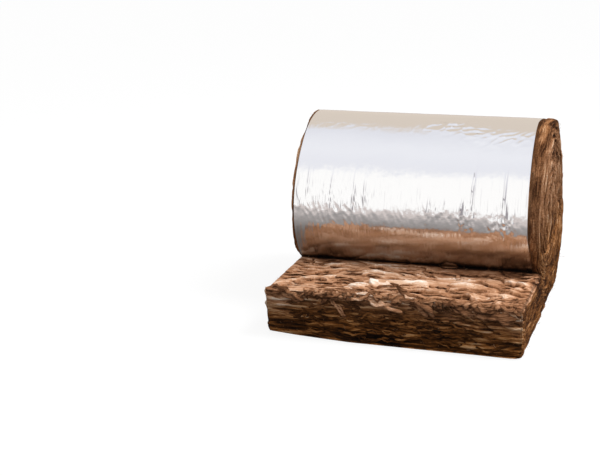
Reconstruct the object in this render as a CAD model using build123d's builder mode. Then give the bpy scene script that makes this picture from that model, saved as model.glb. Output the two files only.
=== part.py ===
"""A foil-faced mineral-wool roll, partly unrolled.

The blanket of wool is one long strip with a foil facing glued to its outer
face. It lies on its foil in front, passes under the roll, climbs the back,
comes over the top and down the front, and winds on inwards. So the loose end
shows bare wool on top, and the foil lies between the turns.

Millimetres, with +X along the roll, +Y away from the loose end and +Z up.
"""

import os

from build123d import *

# Blanket
blanket_width = 600.0  # across the strip, which is the roll's length
loose_thickness = 114.0  # where it lies free
pressed_thickness = 78.0  # on the floor, with the roll's weight on it
pressed_turn = 64.0  # the next turn up, under the middle of the roll
wound_thickness = 88.0  # in the other turns

# Roll, as it sags on its loose end
roll_height = 454.0
front_reach = 226.0  # from the roll's middle plane to its front
front_height = 222.0  # of that foremost line
back_reach = 245.0
back_height = 125.0
top_lead = 16.0  # the highest line lies this far in front of the middle plane
floor_reach = 135.0  # how far behind the middle plane it still lies flat
slack_behind = 29.0  # the last turn hangs this much off the others
core_fold = 48.0  # extra wool in the fold that the winding started from
core_height = 196.0  # where the turns inside stand upright

# Loose end
loose_reach = 454.0  # from the middle plane to its cut end
cut_skew = 10.0  # the cut runs this much further out at the right end, less at the left
corner_round = 16.0  # of its two corners, seen from above
edge_round = 13.0  # of its edges, above and below

# Ends of the roll
left_rim_bevel = 3.0  # the foil is pulled tight over this edge
right_rim_round = 13.0
seam_depth = 15.0  # how deep two turns part from each other
seam_mouth = 13.0
seam_root = 2.0
seam_start_share = 0.45  # of the quarter turn down the front, just above the loose end
seam_end_share = 0.55  # of the last quarter turn

# Foil facing
foil_thickness = 0.4
foil_left_margin = 5.0  # bare wool beside it
foil_right_margin = 24.0

left_end = -blanket_width / 2
right_end = blanket_width / 2

# The middle plane stands here, so that the whole part is centred on the origin
foremost_reach = loose_reach + cut_skew * (right_end - corner_round) / right_end
middle = (foremost_reach - back_reach) / 2

foil_left = left_end + foil_left_margin
foil_right = right_end - foil_right_margin
cut_end = middle - loose_reach


# Quarter turns, counted from where the strip leaves the floor
front_down = 3


def winding(inset):
    """Points (y, z) where the winding is level or upright, from the floor inwards.

    The curve through them runs a constant distance, inset, inside the foil's
    outer face. Even points are the lowest and highest of a turn, and odd ones
    its furthest back and front.
    """
    back = middle + back_reach
    back_inside = back - wound_thickness - slack_behind
    core = back_inside - wound_thickness - core_fold
    front = middle - front_reach
    front_inside = front + wound_thickness
    top_inside = roll_height - wound_thickness
    core_bottom = pressed_thickness + pressed_turn
    return [
        (middle + floor_reach, inset),
        (back - inset, back_height),
        (middle - top_lead, roll_height - inset),
        (front + inset, front_height),
        ((front + back_inside) / 2, pressed_thickness + inset),
        (back_inside - inset, core_height),
        ((front_inside + back_inside) / 2, top_inside - inset),
        (front_inside + inset, core_height),
        ((front_inside + core) / 2, core_bottom + inset),
        (core - inset, core_height),
        ((front_inside + core) / 2, top_inside - wound_thickness - inset),
    ]


def quarter(points, index, begin=0.0, finish=1.0):
    """The share of a quarter ellipse from point index to the next, as an edge."""
    here, there = points[index], points[index + 1]
    centre = (here[0], there[1]) if index % 2 == 0 else (there[0], here[1])
    return EllipticalCenterArc(
        centre,
        abs(there[0] - here[0]),
        abs(there[1] - here[1]),
        start_angle=(270 + 90 * (index + begin)) % 360,
        arc_size=90 * (finish - begin),
    )


def winding_band(across, outer_inset, inner_inset, first, begin=0.0):
    """Face on the plane across, between two curves of the winding.

    It runs from quarter turn first, at the share begin of it, to the seam's end.
    """
    last = len(winding(0)) - 2
    with BuildSketch(across) as band:
        with BuildLine():
            ends = []
            for inset in (outer_inset, inner_inset):
                points = winding(inset)
                arcs = []
                for index in range(first, last + 1):
                    start = begin if index == first else 0.0
                    finish = seam_end_share if index == last else 1.0
                    arcs.append(quarter(points, index, start, finish))
                ends.append((arcs[0] @ 0, arcs[-1] @ 1))
            Line(ends[0][0], ends[1][0])
            Line(ends[0][1], ends[1][1])
        make_face()
    return band.sketch


def strip_outline(height, left, right, back, front_offset):
    """The strip seen from above, from its slanting cut back to the line y = back."""
    skew = cut_skew / right_end
    with BuildSketch(Plane.XY.offset(height)) as outline:
        with BuildLine():
            Polyline(
                (left, back),
                (left, cut_end + front_offset - skew * left),
                (right, cut_end + front_offset - skew * right),
                (right, back),
                close=True,
            )
        make_face()
        corners = outline.vertices().sort_by(Axis.Y)[:2]
        fillet(corners, radius=corner_round - front_offset)
    return outline.sketch


def seam_groove(face_x, root_x):
    """The parting of the turns at one end: wide at the face, narrow at its root."""
    sections = []
    for across, width in ((face_x, seam_mouth), (root_x, seam_root)):
        plane = Plane.YZ.offset(across)
        sections.append(winding_band(plane, -width / 2, width / 2, front_down, seam_start_share))
    return sections


wool_face = winding(foil_thickness)
under_roll = wool_face[4][0]
floor_end = wool_face[0][0]

loose_wool = strip_outline(foil_thickness, left_end, right_end, floor_end, 0)
floor_facing = strip_outline(0, foil_left, foil_right, floor_end, edge_round)
facing_band = winding_band(Plane.YZ.offset(foil_left), 0, foil_thickness, 0)
facing_slot = winding_band(Plane.YZ.offset(left_end), 0, foil_thickness, front_down)

# Loose end: a thick mat, soft at its cut edges
with BuildPart() as loose_end:
    extrude(loose_wool, amount=loose_thickness - foil_thickness)
    cut_edges = loose_end.edges().filter_by(Plane.XY).sort_by(Axis.Y)[:-2]
    fillet(cut_edges, radius=edge_round)

# Wool: the roll with its loose end, parted by the slot that the facing lies in
with BuildPart() as wool_blanket:
    with BuildSketch(Plane.YZ.offset(left_end)):
        with BuildLine():
            for turn_quarter in range(front_down + 1):
                quarter(wool_face, turn_quarter)
            Polyline(wool_face[4], (under_roll, foil_thickness), wool_face[0])
        make_face()
    extrude(amount=blanket_width)
    left_rim = wool_blanket.faces().sort_by(Axis.X)[0].edges()
    right_rim = wool_blanket.faces().sort_by(Axis.X)[-1].edges()
    chamfer(left_rim, length=left_rim_bevel)
    fillet(right_rim, radius=right_rim_round)
    add(loose_end)
    loft(seam_groove(left_end, left_end + seam_depth), ruled=True, mode=Mode.SUBTRACT)
    loft(seam_groove(right_end, right_end - seam_depth), ruled=True, mode=Mode.SUBTRACT)
    extrude(facing_slot, amount=blanket_width, mode=Mode.SUBTRACT)

# Facing: one sheet, on the floor and round the roll, then in between the turns
with BuildPart() as foil_facing:
    extrude(floor_facing, amount=foil_thickness)
    extrude(facing_band, amount=foil_right - foil_left)

wool_blanket.part.label = "wool_blanket"
foil_facing.part.label = "foil_facing"

os.makedirs("parts", exist_ok=True)
export_step(wool_blanket.part, "parts/wool_blanket.step")
export_step(foil_facing.part, "parts/foil_facing.step")
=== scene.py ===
# %% [markdown]
# # An insulation roll in Blender
#
# The object is one long mat of brown mineral wool with aluminium foil glued to
# one side. It has been rolled up, and its loose end lies flat in front of the
# roll with the wool side up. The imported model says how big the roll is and
# where it stands. This script makes what the eye sees: the torn, layered wool,
# the wrinkled foil and the loose fibres.

# %% Load the frame
import math
from functools import partial

import bmesh
import bpy
import numpy as np
from mathutils import Matrix, Vector, noise


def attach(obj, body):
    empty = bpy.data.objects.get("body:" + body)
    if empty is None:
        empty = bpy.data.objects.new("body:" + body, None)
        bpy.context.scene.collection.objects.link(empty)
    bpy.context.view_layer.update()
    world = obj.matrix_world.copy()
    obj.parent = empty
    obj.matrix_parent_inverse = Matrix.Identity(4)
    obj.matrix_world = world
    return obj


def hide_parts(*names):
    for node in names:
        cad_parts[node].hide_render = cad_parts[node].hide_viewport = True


# Blender seeds its noise vectors from the clock unless a seed is set
SEED = 8
noise.seed_set(SEED)

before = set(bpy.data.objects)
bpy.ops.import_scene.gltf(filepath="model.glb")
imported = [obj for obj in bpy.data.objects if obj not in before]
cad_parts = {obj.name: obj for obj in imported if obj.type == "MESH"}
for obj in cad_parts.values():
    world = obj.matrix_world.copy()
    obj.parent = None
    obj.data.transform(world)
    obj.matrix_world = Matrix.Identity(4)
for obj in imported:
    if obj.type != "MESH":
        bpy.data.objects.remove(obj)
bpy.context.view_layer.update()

# %% [markdown]
# ## Camera
#
# The photograph was taken from a little right of the middle, at about one
# metre height, with a long lens. The camera is placed by its position and by
# three turns: to the left, down, and a slight roll of the horizon.

# %% Camera
CAMERA_PLACE = (0.7118, -3.3237, 1.0977)
CAMERA_TURN_LEFT = 17.23
CAMERA_TILT_DOWN = 15.33
CAMERA_ROLL = -0.85
PHOTO_WIDTH_PX = 600
FOCAL_LENGTH_PX = 1421
SENSOR_MM = 36.0


def aim_camera():
    """A camera looking level along +Y, then turned, tilted and rolled."""
    data = bpy.data.cameras.new("photo_camera")
    data.sensor_width = SENSOR_MM
    data.lens = FOCAL_LENGTH_PX / PHOTO_WIDTH_PX * SENSOR_MM
    data.clip_start, data.clip_end = 0.1, 60
    camera = bpy.data.objects.new("photo_camera", data)
    place = Matrix.Translation(CAMERA_PLACE)
    for angle, axis in ((CAMERA_TURN_LEFT, "Z"), (90 - CAMERA_TILT_DOWN, "X"), (CAMERA_ROLL, "Z")):
        place = place @ Matrix.Rotation(math.radians(angle), 4, axis)
    camera.matrix_world = place
    bpy.context.scene.collection.objects.link(camera)
    bpy.context.scene.camera = camera
    return camera


camera = aim_camera()
print("lens, mm:", round(camera.data.lens, 1))

# %% [markdown]
# ## The winding
#
# Seen from its end, the foil's outer face is a spiral that sags: quarter
# ellipses between the points where it is level or upright. The sizes are the
# roll's own, in metres, and everything below follows this one curve.

# %% The winding
MAT_WIDTH = 0.600
LOOSE_THICKNESS = 0.114
PRESSED_THICKNESS = 0.078
PRESSED_TURN = 0.064
WOUND_THICKNESS = 0.088
ROLL_HEIGHT = 0.454
FRONT_REACH, FRONT_HEIGHT = 0.226, 0.222
BACK_REACH, BACK_HEIGHT = 0.245, 0.125
TOP_LEAD = 0.016
FLOOR_REACH = 0.135
SLACK_BEHIND = 0.029
CORE_FOLD, CORE_HEIGHT = 0.048, 0.196
LOOSE_REACH, CUT_SKEW, CORNER_ROUND = 0.454, 0.010, 0.016
LEFT_MARGIN, RIGHT_MARGIN = 0.005, 0.024  # bare wool beside the foil

HALF = MAT_WIDTH / 2
FOIL_LEFT, FOIL_RIGHT = -HALF + LEFT_MARGIN, HALF - RIGHT_MARGIN
MIDDLE = (LOOSE_REACH + CUT_SKEW * (1 - 2 * CORNER_ROUND / MAT_WIDTH) - BACK_REACH) / 2
CUT_END = MIDDLE - LOOSE_REACH
ONE_TURN, WINDING_END = 4.0, 9.55  # in quarter turns


def turning_points():
    """Where the winding is level or upright, as (y, z), from the floor inwards."""
    back = MIDDLE + BACK_REACH
    back_inside = back - WOUND_THICKNESS - SLACK_BEHIND
    core = back_inside - WOUND_THICKNESS - CORE_FOLD
    front = MIDDLE - FRONT_REACH
    front_inside = front + WOUND_THICKNESS
    top_inside = ROLL_HEIGHT - WOUND_THICKNESS
    return np.array([
        (MIDDLE + FLOOR_REACH, 0),
        (back, BACK_HEIGHT),
        (MIDDLE - TOP_LEAD, ROLL_HEIGHT),
        (front, FRONT_HEIGHT),
        ((front + back_inside) / 2, PRESSED_THICKNESS),
        (back_inside, CORE_HEIGHT),
        ((front_inside + back_inside) / 2, top_inside),
        (front_inside, CORE_HEIGHT),
        ((front_inside + core) / 2, PRESSED_THICKNESS + PRESSED_TURN),
        (core, CORE_HEIGHT),
        ((front_inside + core) / 2, top_inside - WOUND_THICKNESS),
    ])


TURNS = turning_points()


def winding(quarters):
    """Points (y, z) of the winding, a number of quarter turns from the floor."""
    index = np.clip(np.floor(quarters).astype(int), 0, len(TURNS) - 2)
    here, there = TURNS[index], TURNS[index + 1]
    level_first = (index % 2 == 0)[:, None]
    centre = np.where(level_first, np.c_[here[:, 0], there[:, 1]], np.c_[there[:, 0], here[:, 1]])
    radii = np.abs(there - here)
    angle = math.radians(270) + math.radians(90) * quarters
    return centre + radii * np.c_[np.cos(angle), np.sin(angle)]


# Where the loose end's top meets the roll's front, in quarter turns
down = (FRONT_HEIGHT - LOOSE_THICKNESS) / (FRONT_HEIGHT - PRESSED_THICKNESS)
CREASE = 3 + math.asin(down) / math.radians(90)
crease_y = winding(np.array([CREASE]))[0, 0]
print("crease at y, m:", round(crease_y, 3))

# %% [markdown]
# ## From a flat mat to a roll
#
# The mat is modelled flat, as it comes off the line: its length runs along Y,
# its width along X and its thickness along Z, with the foil underneath. A
# table then says, for each length along the mat, where its foil side and its
# wool side come to lie. Rolling it up is a look-up in that table, and the
# layers of the wool follow the turns by themselves.

# %% Table of the rolled mat
# The front swells by this much around this place in quarter turns. The last number is where
# the strip on the floor and the turn above it part again.
FRONT_BULGE, BULGE_AT, BULGE_SPAN = 0.009, 2.86, 0.26
UNDER_ROLL_END = 4.4
# In the middle the strip folds back on itself: over a bend, down, and up again
EYE_BEND, EYE_TOP, EYE_FOOT, EYE_WIDTH = (0.02, 0.004), 0.012, 0.045, 0.001
LOOSE_STEPS, PRESSED_STEPS, CLIMB_STEPS, WOUND_STEPS, FOLD_STEPS = 60, 60, 80, 500, 300
ON_FLOOR = LOOSE_STEPS + PRESSED_STEPS


def unit(rows):
    """The same directions with length 1."""
    return rows / np.linalg.norm(rows, axis=1)[:, None]


def rolled_table():
    """For lengths along the mat: the foil side and the wool side, each (y, z)."""
    loose = np.linspace(CUT_END, crease_y, LOOSE_STEPS, endpoint=False)
    pressed = np.linspace(0, 1, PRESSED_STEPS, endpoint=False)
    floor_y = np.r_[loose, crease_y + (TURNS[0][0] - crease_y) * pressed]
    climb = np.linspace(0, 1, CLIMB_STEPS, endpoint=False)
    wound = np.linspace(1, WINDING_END - ONE_TURN, WOUND_STEPS, endpoint=False)
    fold = np.linspace(WINDING_END - ONE_TURN, WINDING_END, FOLD_STEPS)
    foil_side = np.vstack([np.c_[floor_y, 0 * floor_y], winding(np.r_[climb, wound, fold])])

    middle = (TURNS[7] + TURNS[9])[0] / 2
    top = winding(np.array([WINDING_END]))[0]
    head, foot = top[1] - EYE_TOP, TURNS[8][1] + EYE_FOOT
    path = np.array([top, (middle + EYE_BEND[0], top[1] + EYE_BEND[1]), (middle, head),
                     (middle, foot), (middle + EYE_WIDTH, foot), (middle + EYE_WIDTH, head)])
    along = np.linspace(0, len(path) - 1, FOLD_STEPS)
    wool_side = np.vstack([
        np.c_[loose, 0 * loose + LOOSE_THICKNESS],
        winding(CREASE + (UNDER_ROLL_END - CREASE) * pressed),
        winding(UNDER_ROLL_END + (ONE_TURN + 1 - UNDER_ROLL_END) * climb),
        winding(wound + ONE_TURN),
        np.transpose([np.interp(along, range(len(path)), line) for line in path.T]),
    ])
    quarters = np.r_[np.full(ON_FLOOR, -1.0), climb, wound, fold]
    bulge = FRONT_BULGE * np.exp(-((quarters - BULGE_AT) / BULGE_SPAN) ** 2)
    way = unit(np.gradient(foil_side, axis=0))
    foil_side += np.c_[way[:, 1], -way[:, 0]] * bulge[:, None]
    steps = np.linalg.norm(np.diff(foil_side, axis=0), axis=1)
    return np.r_[0, np.cumsum(steps)], foil_side, wool_side


LENGTHS, FOIL_SIDE, WOOL_SIDE = rolled_table()
MAT_LENGTH = LENGTHS[-1]
LOOSE_LENGTH = crease_y - CUT_END
print("mat length, m:", round(MAT_LENGTH, 2), "of which loose:", round(LOOSE_LENGTH, 2))


def look_up(lengths, side):
    """Points (y, z) of one side of the rolled mat at these lengths."""
    return np.c_[np.interp(lengths, LENGTHS, side[:, 0]), np.interp(lengths, LENGTHS, side[:, 1])]


# How the soft loose end differs from the straight block: its right side swells, its left
# side draws in above and spreads below, and its cut face leans, forwards at the left
SWOLLEN_RIGHT, SWELL_AT_CUT, SWELL_LOST = 0.004, 1.3, 0.6
DRAWN_IN_LEFT, SPREAD_LEFT = 0.003, 0.012
LEAN_AT = (-0.30, -0.22, -0.10, 0.05, 0.20, 0.30)
LEAN_TOP = (0.016, 0.000, -0.014, -0.016, -0.008, -0.004)
LEAN_FOOT = (-0.028, -0.012, 0.003, 0.004, 0.004, 0.006)
LEAN_FADE = 0.10
# The outer sixth of its upper left corner at the cut is curled outwards and up
CURL_OUT, CURL_UP, CURL_FADE, CURL_PARTS = 0.008, 0.005, 0.035, 6


def roll_up(flat):
    """Places in the flat mat turned into places in the rolled one."""
    x, length, share = flat.T / np.array([[1], [1], [LOOSE_THICKNESS]])
    foil, wool = look_up(length, FOIL_SIDE), look_up(length, WOOL_SIDE)
    placed = foil + (wool - foil) * share[:, None]
    loose = np.clip(1 - length / LOOSE_LENGTH, 0, 1)
    at_cut = np.clip(1 - length / LEAN_FADE, 0, 1) ** 2
    lean = np.interp(x, LEAN_AT, LEAN_FOOT) * (1 - share) + np.interp(x, LEAN_AT, LEAN_TOP) * share
    y = placed[:, 0] + np.minimum(length, 0) - loose * CUT_SKEW * x / HALF - at_cut * lean
    near_cut = np.clip(SWELL_AT_CUT - length / LOOSE_LENGTH * SWELL_LOST, 0, 1)
    swollen = SWOLLEN_RIGHT * near_cut * np.clip(x / HALF, 0, 1) ** 2
    spread = DRAWN_IN_LEFT * share - SPREAD_LEFT * (1 - share)
    spread = spread * at_cut * np.clip(-x / HALF, 0, 1) ** 2
    curl = np.clip(-x / HALF * CURL_PARTS - (CURL_PARTS - 1), 0, 1) ** 2 * np.clip(share, 0, 1)
    curl *= np.clip(1 - length / CURL_FADE, 0, 1)
    x = x + swollen + spread - CURL_OUT * curl
    return np.c_[x, y, np.maximum(placed[:, 1] + CURL_UP * curl, 0)]


# %% [markdown]
# ## Helpers for materials and meshes
#
# Colours are written as sRGB hex values, as a paint chart gives them, and one
# function turns them into the linear values that nodes take. One more function
# adds a node with its settings, its values and its links.

# %% Helpers
def linear(hex_colour):
    """An sRGB hex colour as linear red, green, blue and alpha."""
    shares = [int(hex_colour[i:i + 2], 16) / 255 for i in (1, 3, 5)]
    return [s / 12.92 if s <= 0.04045 else ((s + 0.055) / 1.055) ** 2.4 for s in shares] + [1.0]


def add_node(tree, kind, inputs=None, stops=None, **settings):
    """A new node: its settings, its inputs (values, sockets or nodes), and a ramp's stops."""
    new = tree.nodes.new("ShaderNode" + kind)
    for name, value in settings.items():
        setattr(new, name, value)
    for socket, value in (inputs or {}).items():
        if isinstance(value, bpy.types.Node):
            value = value.outputs[0]
        if isinstance(value, bpy.types.NodeSocket):
            tree.links.new(value, new.inputs[socket])
        else:
            new.inputs[socket].default_value = value
    for index, (place, colour) in enumerate(stops or []):
        elements = new.color_ramp.elements
        stop = elements[index] if index < 2 else elements.new(place)
        stop.position, stop.color = place, linear(colour)
    return new


def node_adder(owner):
    """Clear the nodes of a material or world, and give the function that adds new ones."""
    owner.use_nodes = True
    owner.node_tree.nodes.clear()
    return partial(add_node, owner.node_tree)


def attributes(add, *names):
    """Sockets with the numbers that were stored under these names."""
    return [add("Attribute", attribute_name=name).outputs["Fac"] for name in names]


def ray_kinds(add):
    """Sockets that are 1 for a camera ray, and 1 for a mirrored or transmitted one."""
    path = add("LightPath").outputs
    mirrored = add("Math", {0: path["Is Glossy Ray"], 1: path["Is Transmission Ray"]},
                   operation="MAXIMUM")
    return path["Is Camera Ray"], mirrored.outputs[0]


def select_only(obj):
    """Make this the one object that is selected and active."""
    bpy.ops.object.select_all(action="DESELECT")
    obj.select_set(True)
    bpy.context.view_layer.objects.active = obj


def places(obj, what="co"):
    """The places of the object's vertices, or their normals, as rows of x, y, z."""
    numbers = np.empty(len(obj.data.vertices) * 3)
    obj.data.vertices.foreach_get(what, numbers)
    return numbers.reshape(-1, 3)


def move_to(obj, rows):
    """Give the object's vertices these places."""
    obj.data.vertices.foreach_set("co", np.ascontiguousarray(rows).ravel())
    obj.data.update()


def store(obj, **named):
    """Keep one number, or three, for each vertex under each of these names."""
    for name, values in named.items():
        values = np.ascontiguousarray(values)
        kind, key = ("FLOAT", "value") if values.ndim == 1 else ("FLOAT_VECTOR", "vector")
        attribute = obj.data.attributes.new(name, kind, "POINT")
        attribute.data.foreach_set(key, values.ravel())


def edit_whole(obj, action, **settings):
    """Run one mesh operator on all of the object in edit mode."""
    select_only(obj)
    bpy.ops.object.mode_set(mode="EDIT")
    bpy.ops.mesh.select_all(action="SELECT")
    action(**settings)
    bpy.ops.object.mode_set(mode="OBJECT")


def triangles(obj):
    """How many triangles the object's faces make."""
    return sum(len(face.vertices) - 2 for face in obj.data.polygons)


def table(rows):
    """Rows in millimetres and thousandths, as lists in metres and shares."""
    return (np.array(rows) / 1000).tolist()


def soft_noise(*place):
    """Smooth noise from -1 to 1."""
    return noise.noise(Vector(place))


def smoothstep(low, high, value):
    """0 below low, 1 above high, and a smooth step between."""
    share = np.clip((value - low) / (high - low), 0, 1)
    return share * share * (3 - 2 * share)


# %% [markdown]
# ## The wool, as a flat mat
#
# Mineral wool is laid down in thin layers, so a cut or torn edge shows them as
# long wavy strata with dark gaps, and a peeled face shows flakes. The mat
# starts as one cube at its flat size. It is cut into columns near its long
# edges, and then divided only where it can be seen: its two long edges, its
# cut end, and the top of the loose part. The rest is hidden in the roll and
# stays coarse.

# %% The mat's block
HIDDEN_LEFT, HIDDEN_RIGHT = -0.284, 0.258
COLUMNS = (HIDDEN_LEFT, -0.290, -0.295, -0.298, HIDDEN_RIGHT, 0.266, 0.273, 0.279, 0.285, 0.292)
THICKNESS_CUTS, LOOSE_CUTS = 45, 80
WOUND_CUTS, WIDTH_CUTS = (9, 51), (100, 1)  # made in two rounds
TINY = 1e-5
RUNS_ALONG = 0.9  # at least this share of an edge's direction


def divide(cuts, wanted):
    """In edit mode, cut the edges whose middle and direction are wanted."""
    bpy.ops.mesh.select_mode(type="EDGE")
    bpy.ops.mesh.select_all(action="DESELECT")
    mesh = bmesh.from_edit_mesh(wool.data)
    for edge in mesh.edges:
        start, end = edge.verts[0].co, edge.verts[1].co
        if wanted((start + end) / 2, (end - start).normalized()):
            edge.select_set(True)
    bmesh.update_edit_mesh(wool.data)
    bpy.ops.mesh.subdivide(number_cuts=cuts)


def on_view(middle, along):
    """Edges across the loose part's top and the cut end."""
    across = abs(along.x) > RUNS_ALONG and HIDDEN_LEFT < middle.x < HIDDEN_RIGHT
    top = middle.z > LOOSE_THICKNESS - TINY and middle.y < LOOSE_LENGTH + TINY
    return across and (top or middle.y < TINY)


bpy.ops.object.select_all(action="DESELECT")
bpy.ops.mesh.primitive_cube_add(size=1, location=(0, MAT_LENGTH / 2, LOOSE_THICKNESS / 2))
wool = bpy.context.object
wool.name = "wool_mat"
wool.scale = (MAT_WIDTH, MAT_LENGTH, LOOSE_THICKNESS)
bpy.ops.object.transform_apply(location=True, rotation=True, scale=True)
bpy.ops.object.mode_set(mode="EDIT")
for column in COLUMNS:
    bpy.ops.mesh.select_all(action="SELECT")
    bpy.ops.mesh.bisect(plane_co=(column, 0, 0), plane_no=(1, 0, 0))
bpy.ops.mesh.select_all(action="SELECT")
bpy.ops.mesh.bisect(plane_co=(0, LOOSE_LENGTH, 0), plane_no=(0, 1, 0))
divide(THICKNESS_CUTS, lambda middle, along: abs(along.z) > RUNS_ALONG)
divide(LOOSE_CUTS, lambda middle, along: abs(along.y) > RUNS_ALONG and middle.y < LOOSE_LENGTH)
for cuts in WOUND_CUTS:
    divide(cuts, lambda middle, along: abs(along.y) > RUNS_ALONG and middle.y > LOOSE_LENGTH)
for cuts in WIDTH_CUTS:
    divide(cuts, on_view)
bpy.ops.object.mode_set(mode="OBJECT")
print("flat mat:", len(wool.data.vertices), "vertices,", triangles(wool), "triangles")

# %% [markdown]
# Next the block's edges are rounded, while the mat is still flat. A point near
# an edge moves from the square corner to the arc that fits in it. The foil
# pulls the left edge sharp, and the right edge, where the foil stops short,
# bulges more.

# %% Round the edges
EDGE_ROUND_FOIL = {"left": 0.002, "right": 0.008}
EDGE_ROUND_WOOL = {"left": 0.007, "right": 0.016}
WORN_CORNER, WORN_FADE = 0.012, (0.02, 0.08)  # the left edge under the cut is rounder
CUT_ROUND = {"foot": 0.004, "top": 0.009}
FAR = 10.0  # past the mat's other end, which stays square


def rounded(first, second, low, high, radius):
    """Move points (first, second) from square corners onto arcs of this radius."""
    first_core = np.clip(first, low[0] + radius, high[0] - radius)
    second_core = np.clip(second, low[1] + radius, high[1] - radius)
    a, b = first - first_core, second - second_core
    reach = np.maximum(np.abs(a), np.abs(b))
    share = np.where(reach > 0, reach / np.maximum(np.hypot(a, b), 1e-9), 1)
    return first_core + a * share, second_core + b * share


flat = places(wool)
start = flat.copy()
right, upper = start[:, 0] > 0, start[:, 2] > LOOSE_THICKNESS / 2
radius = np.where(right,
                  np.where(upper, EDGE_ROUND_WOOL["right"], EDGE_ROUND_FOIL["right"]),
                  np.where(upper, EDGE_ROUND_WOOL["left"], EDGE_ROUND_FOIL["left"]))
worn = ~right & ~upper
radius[worn] = np.interp(start[worn, 1], WORN_FADE, (WORN_CORNER, EDGE_ROUND_FOIL["left"]))
cut_radius = np.where(upper, CUT_ROUND["top"], CUT_ROUND["foot"])
for a, b, low, high, arc in ((1, 2, (0, 0), (FAR, LOOSE_THICKNESS), cut_radius),
                             (0, 2, (-HALF, 0), (HALF, LOOSE_THICKNESS), radius),
                             (0, 1, (-HALF, 0), (HALF, FAR), CORNER_ROUND)):
    flat[:, a], flat[:, b] = rounded(flat[:, a], flat[:, b], low, high, arc)
move_to(wool, flat)

# %% [markdown]
# ## Layers, flakes and gaps
#
# The relief is worked out in the flat mat too, so that the layers follow the
# turns afterwards. The top was peeled, so it is a stack of torn sheets: each
# ends in a lip with a crease in front of it, and falls away gently behind. On
# the cut and at the ends, cells stretched along the layers stand more or less
# far out, and the lines between them sink in as gaps. A slow noise bends it all
# first. How high and how light each place is, is kept as an attribute. The
# lightness holds painted shade in the gaps and creases and a painted highlight
# on the lips, as well as the wool's own tones.

# %% Relief
WARP_SIZE, WARP_REACH = 0.090, 0.016
# Large and small flakes on the cut and at the ends: size, height and contrast
FLAKES = {
    "cut": (((0.120, 0.080, 0.014), 0.0072, 0.46), ((0.070, 0.080, 0.0055), 0.0044, 0.506)),
    "end": (((0.014, 0.120, 0.016), 0.0052, 0.28), ((0.006, 0.050, 0.0065), 0.0028, 0.308)),
}
FLAKE_MEAN_HEIGHT, FLAKE_MEAN_LIGHT = 0.45, 0.40
# Torn sheets on the top: their spacing, how they slant, the height of their lips, the painted
# highlight on a lip and the painted shade in a crease. A crease starts at this share of the way
# to the next lip.
SHEETS = ((0.060, 0.16, 0.0095, 0.26, 0.42), (0.025, -0.10, 0.0042, 0.20, 0.24))
CREASE_FROM, SHEET_MEAN = 0.74, 0.3
BASE_TONE = {"top": 0.46, "cut": 0.48, "end": 0.48}
SWELL_SIZE, SWELL_REACH, SWELL_TONE = 0.10, 0.003, 0.15
# How dark the wool looks: at the ends by the height, darker at the foot and with painted shade
# at the top, which the lamp lights most, and on the cut by the height in the mat.
# At the cut's left and right end the lighter wool reaches further down.
END_SHADE_AT, END_SHADE = (0.0, 0.16, 0.25, 0.38, 0.45), (0.96, 0.88, 0.60, 0.58, 0.80)
CUT_SHADE_AT = (0.0, 0.030, 0.065, 0.090, 0.110)
CUT_SHADE = (1.0, 1.0, 0.96, 0.80, 0.32)
CUT_LIGHT = (0.00, 0.03, 0.09, 0.17, 0.18)
LIGHT_REACH_AT = (-0.30, -0.25, -0.20, 0.05, 0.14, 0.30)
LIGHT_REACH = (0.032, 0.022, 0.000, 0.000, 0.014, 0.022)
TOP_LIGHT_AT = (-0.3, -0.10, 0.02, 0.14, 0.3)
TOP_LIGHT = (-0.10, 0.00, 0.05, -0.03, -0.10)
# How far from the crease the painted shade reaches
CREASE_SHADE_WIDTH = 0.024
MARGIN_BULGE = {"left": 1.5 * 0.0028, "right": 0.0028}
RELIEF_BORDER = 0.034  # how far in from both ends the relief reaches
UNDER_FOIL, BETWEEN_TURNS = 0.0007, 0.0003
MID_TONE = 0.5
# How far the foil's right edge wanders, by the length from the roll's foremost line
WANDER_AT = (-0.45, -0.33, -0.15, 0.0, 0.10, 0.16)
WANDER = (0.0, -0.010, -0.006, -0.003, 0.004, 0.002)


def foil_right_at(length):
    """The foil's right edge: it wanders, and leaves more wool bare over the top."""
    return FOIL_RIGHT + np.interp(length - FOREMOST, WANDER_AT, WANDER)


def length_at(quarters):
    """The length along the mat where the outer foil has wound this many quarters."""
    on_curve = winding(np.array([quarters]))[0]
    outer = slice(ON_FLOOR, None)
    nearest = np.argmin(np.linalg.norm(FOIL_SIDE[outer] - on_curve, axis=1))
    return LENGTHS[outer][nearest]


FOREMOST, lift_off = length_at(3.0), length_at(0.0)


def flakes(point, sizes):
    """The height of a stretched cell, from 0 in a gap to 1 on a proud flake."""
    spot = Vector(point[i] / sizes[i] for i in range(3))
    distances, centres = noise.voronoi(spot)
    gap = min((distances[1] - distances[0]) * 2.0, 1.0)
    proud = noise.cell(centres[0] * 31.7)
    tilt = spot - centres[0]
    return (0.25 + 0.6 * proud + 0.25 * (tilt.y + tilt.z)) * (0.3 + 0.7 * gap ** 0.6)


def torn_sheet(x, length, spacing, slant):
    """Height behind a sheet's lip, 1 to 0, and how dark the crease in front of it is."""
    bend = soft_noise(x / 0.12, length / 0.08, spacing * 90) * spacing * 1.1
    fray = soft_noise(x / 0.022, length / 0.035, spacing * 70) * spacing * 0.30
    place = (length + slant * x + bend + fray) / spacing
    sheet = math.floor(place)
    behind = place - sheet
    bold = [max(0.0, 0.55 + 1.0 * soft_noise(n * 7.3, x / 0.055, spacing * 50))
            for n in (sheet, sheet + 1)]
    crease = max(0.0, behind - CREASE_FROM) / (1 - CREASE_FROM)
    return bold[0] * (1 - behind) ** 1.2, bold[1] * crease


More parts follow.
